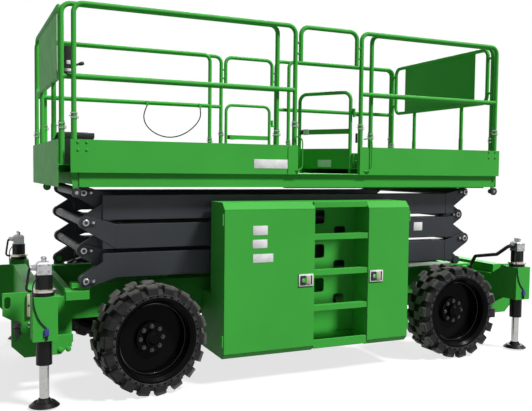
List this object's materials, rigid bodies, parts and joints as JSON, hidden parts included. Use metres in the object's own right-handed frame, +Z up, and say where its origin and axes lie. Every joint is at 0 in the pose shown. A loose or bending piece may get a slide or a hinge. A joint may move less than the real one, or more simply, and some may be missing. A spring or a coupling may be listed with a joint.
{
  "type": "rough-terrain scissor lift",
  "caption": "Self-propelled scissor lift with lugged tyres, outriggers, a three-level scissor stack and a railed platform that slides out at both ends.",
  "frame": {"origin": "on the ground, midway between the wheels", "axes": "+X along the machine towards the fixed axle, +Z up, -Y towards the side with the open gate"},
  "size_m": [4.9, 2.4052, 2.924],
  "materials": {
    "paint": "semi-gloss green",
    "arm_paint": "satin dark grey",
    "black_steel": "satin black",
    "rubber": "matt black",
    "hose": "matt black",
    "rod_chrome": "polished",
    "zinc": "satin",
    "iron": "rough",
    "plastic": "matt"
  },
  "bodies": {
    "chassis": {"chassis_frame": "paint", "chassis_ends": "paint", "chassis_side_plates": "paint", "outrigger_sleeves": "black_steel", "steered_axle": "black_steel", "fixed_axle": "black_steel", "outrigger_heads": "black_steel", "outrigger_hoses": "hose", "cabinet_near_left": "paint", "cabinet_near_right": "paint", "cabinet_far_left": "paint", "cabinet_far_right": "paint", "ladder_near": "paint", "ladder_far": "paint", "engine_block": "iron", "hydraulic_tank": "black_steel"},
    "door_near_left": {"door_near_left": "paint"},
    "door_near_right": {"door_near_right": "paint"},
    "door_far_left": {"door_far_left": "paint"},
    "door_far_right": {"door_far_right": "paint"},
    "knuckle_left_near": {"knuckle_left_near": "black_steel"},
    "knuckle_left_far": {"knuckle_left_far": "black_steel"},
    "wheel_left_near": {"tyre_left_near": "rubber", "rim_left_near": "black_steel"},
    "wheel_left_far": {"tyre_left_far": "rubber", "rim_left_far": "black_steel"},
    "wheel_right_near": {"tyre_right_near": "rubber", "rim_right_near": "black_steel"},
    "wheel_right_far": {"tyre_right_far": "rubber", "rim_right_far": "black_steel"},
    "outrigger_leg_left_near": {"outrigger_leg_left_near": "rod_chrome"},
    "outrigger_leg_left_far": {"outrigger_leg_left_far": "rod_chrome"},
    "outrigger_leg_right_near": {"outrigger_leg_right_near": "rod_chrome"},
    "outrigger_leg_right_far": {"outrigger_leg_right_far": "rod_chrome"},
    "outer_arm_1": {"outer_arm_1": "arm_paint"},
    "outer_arm_2": {"outer_arm_2": "arm_paint"},
    "outer_arm_3": {"outer_arm_3": "arm_paint"},
    "inner_arm_1": {"inner_arm_1": "arm_paint"},
    "inner_arm_2": {"inner_arm_2": "arm_paint"},
    "inner_arm_3": {"inner_arm_3": "arm_paint"},
    "lift_barrel": {"lift_barrel": "black_steel"},
    "lift_rod": {"lift_rod": "rod_chrome"},
    "platform": {"platform_deck": "paint", "platform_frame": "paint", "main_rails_near": "paint", "main_rails_far": "paint", "entry_hoops": "paint"},
    "left_extension": {"left_extension_deck": "paint", "left_extension_rails": "paint", "left_end_frame": "paint", "rail_cable": "hose", "control_box": "plastic", "tool_box": "plastic"},
    "right_extension": {"right_extension_deck": "paint", "right_extension_rails": "paint", "right_end_frame": "paint"},
    "gate_near": {"gate_near": "paint"},
    "gate_far": {"gate_far": "paint"}
  },
  "joints": [
    {"name": "door_near_left_hinge", "type": "hinge", "parent": "chassis", "child": "door_near_left", "pos_m": [-0.87, -1.128, 0.257], "axis": [0, 0, -1], "range_deg": [0, 100]},
    {"name": "door_near_right_hinge", "type": "hinge", "parent": "chassis", "child": "door_near_right", "pos_m": [0.87, -1.128, 0.257], "axis": [0, 0, 1], "range_deg": [0, 100]},
    {"name": "door_far_left_hinge", "type": "hinge", "parent": "chassis", "child": "door_far_left", "pos_m": [-0.87, 1.128, 0.257], "axis": [0, 0, 1], "range_deg": [0, 100]},
    {"name": "door_far_right_hinge", "type": "hinge", "parent": "chassis", "child": "door_far_right", "pos_m": [0.87, 1.128, 0.257], "axis": [0, 0, -1], "range_deg": [0, 100]},
    {"name": "steer_near", "type": "hinge", "parent": "chassis", "child": "knuckle_left_near", "pos_m": [-1.445, -0.76, 0.42], "axis": [0, 0, 1], "range_deg": [-36, 20]},
    {"name": "steer_far", "type": "hinge", "parent": "chassis", "child": "knuckle_left_far", "pos_m": [-1.445, 0.76, 0.42], "axis": [0, 0, 1], "range_deg": [-36, 20]},
    {"name": "wheel_left_near_spin", "type": "hinge", "parent": "knuckle_left_near", "child": "wheel_left_near", "pos_m": [-1.4116, -0.99766, 0.42], "axis": [-0.1392, 0.9903, 0], "continuous": true},
    {"name": "wheel_left_far_spin", "type": "hinge", "parent": "knuckle_left_far", "child": "wheel_left_far", "pos_m": [-1.4784, 0.99766, 0.42], "axis": [-0.1392, 0.9903, 0], "continuous": true},
    {"name": "wheel_right_near_spin", "type": "hinge", "parent": "chassis", "child": "wheel_right_near", "pos_m": [1.445, -1, 0.42], "axis": [0, 1, 0], "continuous": true},
    {"name": "wheel_right_far_spin", "type": "hinge", "parent": "chassis", "child": "wheel_right_far", "pos_m": [1.445, 1, 0.42], "axis": [0, 1, 0], "continuous": true},
    {"name": "outrigger_leg_left_near_slide", "type": "slide", "parent": "chassis", "child": "outrigger_leg_left_near", "axis": [0, 0, 1], "range_m": [-0.3, 0.22]},
    {"name": "outrigger_leg_left_far_slide", "type": "slide", "parent": "chassis", "child": "outrigger_leg_left_far", "axis": [0, 0, 1], "range_m": [-0.3, 0.22]},
    {"name": "outrigger_leg_right_near_slide", "type": "slide", "parent": "chassis", "child": "outrigger_leg_right_near", "axis": [0, 0, 1], "range_m": [-0.3, 0.22]},
    {"name": "outrigger_leg_right_far_slide", "type": "slide", "parent": "chassis", "child": "outrigger_leg_right_far", "axis": [0, 0, 1], "range_m": [-0.3, 0.22]},
    {"name": "lift", "type": "hinge", "parent": "chassis", "child": "outer_arm_1", "pos_m": [-1.85, 0, 0.835], "axis": [0, -1, 0], "range_deg": [0, 56]},
    {"name": "cross_1", "type": "hinge", "parent": "outer_arm_1", "child": "inner_arm_1", "pos_m": [-0.0375, 0, 0.9475], "axis": [0, -1, 0], "range_deg": [-112, 0]},
    {"name": "knee_right_1", "type": "hinge", "parent": "outer_arm_1", "child": "outer_arm_2", "pos_m": [1.775, 0, 1.06], "axis": [0, -1, 0], "range_deg": [-112, 0]},
    {"name": "cross_2", "type": "hinge", "parent": "outer_arm_2", "child": "inner_arm_2", "pos_m": [-0.0375, 0, 1.1725], "axis": [0, -1, 0], "range_deg": [0, 112]},
    {"name": "knee_left_2", "type": "hinge", "parent": "outer_arm_2", "child": "outer_arm_3", "pos_m": [-1.85, 0, 1.285], "axis": [0, -1, 0], "range_deg": [0, 112]},
    {"name": "cross_3", "type": "hinge", "parent": "outer_arm_3", "child": "inner_arm_3", "pos_m": [-0.0375, 0, 1.3975], "axis": [0, -1, 0], "range_deg": [-112, 0]},
    {"name": "platform_level", "type": "hinge", "parent": "inner_arm_3", "child": "platform", "pos_m": [-1.85, 0, 1.51], "axis": [0, -1, 0], "range_deg": [0, 56]},
    {"name": "barrel_pivot", "type": "hinge", "parent": "inner_arm_1", "child": "lift_barrel", "pos_m": [0.22798, 0, 0.93102], "axis": [0, -1, 0], "range_deg": [-0.679, 0.2]},
    {"name": "rod_slide", "type": "slide", "parent": "lift_barrel", "child": "lift_rod", "axis": [-0.9898, 0, 0.1427], "range_m": [0, 0.5315]},
    {"name": "left_extension_slide", "type": "slide", "parent": "platform", "child": "left_extension", "axis": [-1, 0, 0], "range_m": [0, 0.9]},
    {"name": "right_extension_slide", "type": "slide", "parent": "platform", "child": "right_extension", "axis": [1, 0, 0], "range_m": [0, 0.9]},
    {"name": "gate_near_hinge", "type": "hinge", "parent": "platform", "child": "gate_near", "pos_m": [0.452, -0.862, 1.722], "axis": [0, 0, -1], "range_deg": [-56, 34]},
    {"name": "gate_far_hinge", "type": "hinge", "parent": "platform", "child": "gate_far", "pos_m": [0.452, 0.862, 1.722], "axis": [0, 0, 1], "range_deg": [0, 90]}
  ],
  "couplings": [
    {"joint": "steer_far", "follows": "steer_near", "ratio": 1},
    {"joint": "cross_1", "follows": "lift", "ratio": -2},
    {"joint": "knee_right_1", "follows": "lift", "ratio": -2},
    {"joint": "cross_2", "follows": "lift", "ratio": 2},
    {"joint": "knee_left_2", "follows": "lift", "ratio": 2},
    {"joint": "cross_3", "follows": "lift", "ratio": -2},
    {"joint": "platform_level", "follows": "lift", "ratio": 1},
    {"joint": "barrel_pivot", "follows": "lift", "ratio": -0.008552},
    {"joint": "rod_slide", "follows": "lift", "m_per_rad": 0.54178}
  ]
}
